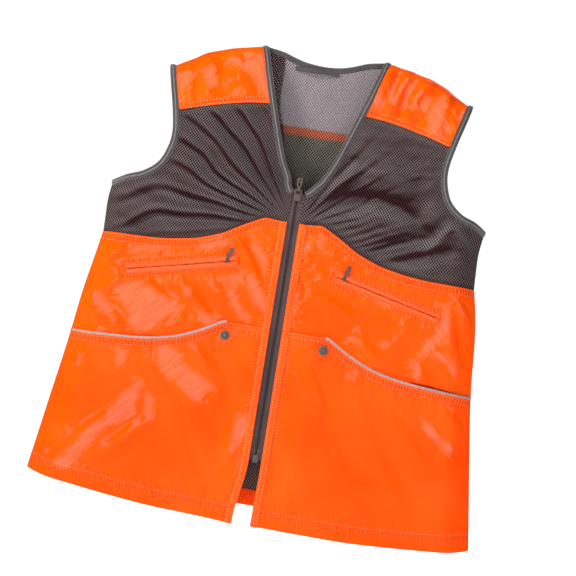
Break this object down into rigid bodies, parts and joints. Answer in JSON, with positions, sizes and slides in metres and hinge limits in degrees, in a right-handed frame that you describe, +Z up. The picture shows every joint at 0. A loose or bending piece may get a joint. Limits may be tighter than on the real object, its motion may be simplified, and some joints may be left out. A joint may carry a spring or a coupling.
{
  "type": "hunting vest",
  "caption": "Sleeveless zip-front safety vest with mesh chest and back, orange shell panels, two zipped chest pockets and two snapped lower pockets.",
  "frame": {"origin": "centre of the hang loop at the back of the neck, on the plane of the side seams' back edge", "axes": "+Z up towards the shoulders, -Y towards the front of the vest, +X towards the wearer's left"},
  "size_m": [0.678, 0.0439, 0.7214],
  "materials": {
    "shell_orange": "blaze orange coated nylon, satin sheen",
    "mesh_dark": "open polyester mesh",
    "binding_grey": "woven tape, matte",
    "piping_reflective": "grey reflective piping",
    "zip_tape_dark": "woven zip tape",
    "zip_tape_orange": "water-repellent zip tape, satin",
    "zip_teeth": "moulded nylon",
    "zip_teeth_orange": "nylon coil",
    "gunmetal": "dark gunmetal, worn edges",
    "box_metal": "dull nickel",
    "pocket_cloth": "plain pocket lining"
  },
  "bodies": {
    "vest": {"back_lining": "mesh_dark", "back_outer_mesh": "mesh_dark", "back_band": "shell_orange", "back_hem": "shell_orange", "back_neck_binding": "binding_grey", "hang_loop": "binding_grey", "shoulder_panel_left": "shell_orange", "shoulder_panel_right": "shell_orange", "chest_mesh_left": "mesh_dark", "chest_mesh_right": "mesh_dark", "front_panel_left": "shell_orange", "front_panel_right": "shell_orange", "front_hem_left": "shell_orange", "front_hem_right": "shell_orange", "armhole_binding_left": "binding_grey", "armhole_binding_right": "binding_grey", "armhole_piping": "piping_reflective", "neck_binding_left": "binding_grey", "neck_binding_right": "binding_grey", "chest_zip_tape_left": "zip_tape_orange", "chest_zip_tape_right": "zip_tape_orange", "chest_zip_teeth_left": "zip_teeth_orange", "chest_zip_teeth_right": "zip_teeth_orange", "chest_pocket_bag_left": "pocket_cloth", "chest_pocket_bag_right": "pocket_cloth", "snap_stud_left": "gunmetal", "snap_stud_right": "gunmetal"},
    "front_edge_left": {"lapel_mesh_left": "mesh_dark", "front_edge_panel_left": "shell_orange", "placket_left": "shell_orange", "lower_edge_panel_left": "shell_orange", "lapel_binding_left": "binding_grey", "zip_tape_left": "zip_tape_dark", "zip_teeth_left": "zip_teeth", "insertion_pin": "gunmetal"},
    "front_edge_right": {"lapel_mesh_right": "mesh_dark", "front_edge_panel_right": "shell_orange", "placket_right": "shell_orange", "lower_edge_panel_right": "shell_orange", "lapel_binding_right": "binding_grey", "zip_tape_right": "zip_tape_dark", "zip_teeth_right": "zip_teeth", "retainer_box": "box_metal"},
    "main_zip_slider": {"main_slider": "gunmetal"},
    "main_zip_pull": {"main_pull": "gunmetal"},
    "chest_zip_slider_left": {"chest_slider_left": "gunmetal"},
    "chest_zip_slider_right": {"chest_slider_right": "gunmetal"},
    "chest_zip_pull_left": {"chest_pull_left": "gunmetal"},
    "chest_zip_pull_right": {"chest_pull_right": "gunmetal"},
    "lower_pocket_left": {"pocket_panel_left": "shell_orange", "pocket_piping_left": "piping_reflective", "snap_cap_left": "gunmetal", "snap_socket_left": "gunmetal"},
    "lower_pocket_right": {"pocket_panel_right": "shell_orange", "pocket_piping_right": "piping_reflective", "snap_cap_right": "gunmetal", "snap_socket_right": "gunmetal"}
  },
  "joints": [
    {"name": "front_edge_left_fold", "type": "hinge", "parent": "vest", "child": "front_edge_left", "pos_m": [0.054, -0.03625, -0.387], "axis": [0, 0, 1], "range_deg": [0, 90]},
    {"name": "front_edge_right_fold", "type": "hinge", "parent": "vest", "child": "front_edge_right", "pos_m": [-0.054, -0.03625, -0.387], "axis": [0, 0, -1], "range_deg": [0, 90]},
    {"name": "main_zip", "type": "slide", "parent": "front_edge_right", "child": "main_zip_slider", "axis": [0, 0, -1], "range_m": [0, 0.372]},
    {"name": "main_zip_pull_swing", "type": "hinge", "parent": "main_zip_slider", "child": "main_zip_pull", "pos_m": [0, -0.0374, -0.184], "axis": [1, 0, 0], "range_deg": [0, 165]},
    {"name": "chest_zip_left", "type": "slide", "parent": "vest", "child": "chest_zip_slider_left", "axis": [0.9736, 0, -0.2284], "range_m": [0, 0.138]},
    {"name": "chest_zip_pull_left_swing", "type": "hinge", "parent": "chest_zip_slider_left", "child": "chest_zip_pull_left", "pos_m": [0.08782, -0.036, -0.30524], "axis": [0.9736, 0, -0.2284], "range_deg": [0, 165]},
    {"name": "chest_zip_right", "type": "slide", "parent": "vest", "child": "chest_zip_slider_right", "axis": [-0.9736, 0, -0.2284], "range_m": [0, 0.138]},
    {"name": "chest_zip_pull_right_swing", "type": "hinge", "parent": "chest_zip_slider_right", "child": "chest_zip_pull_right", "pos_m": [-0.08782, -0.036, -0.30524], "axis": [0.9736, 0, 0.2284], "range_deg": [0, 165]},
    {"name": "lower_pocket_left_open", "type": "hinge", "parent": "vest", "child": "lower_pocket_left", "pos_m": [0.19, -0.0354, -0.6614], "axis": [1, 0, 0], "range_deg": [0, 8]},
    {"name": "lower_pocket_right_open", "type": "hinge", "parent": "vest", "child": "lower_pocket_right", "pos_m": [-0.19, -0.0354, -0.6614], "axis": [1, 0, 0], "range_deg": [0, 8]}
  ]
}
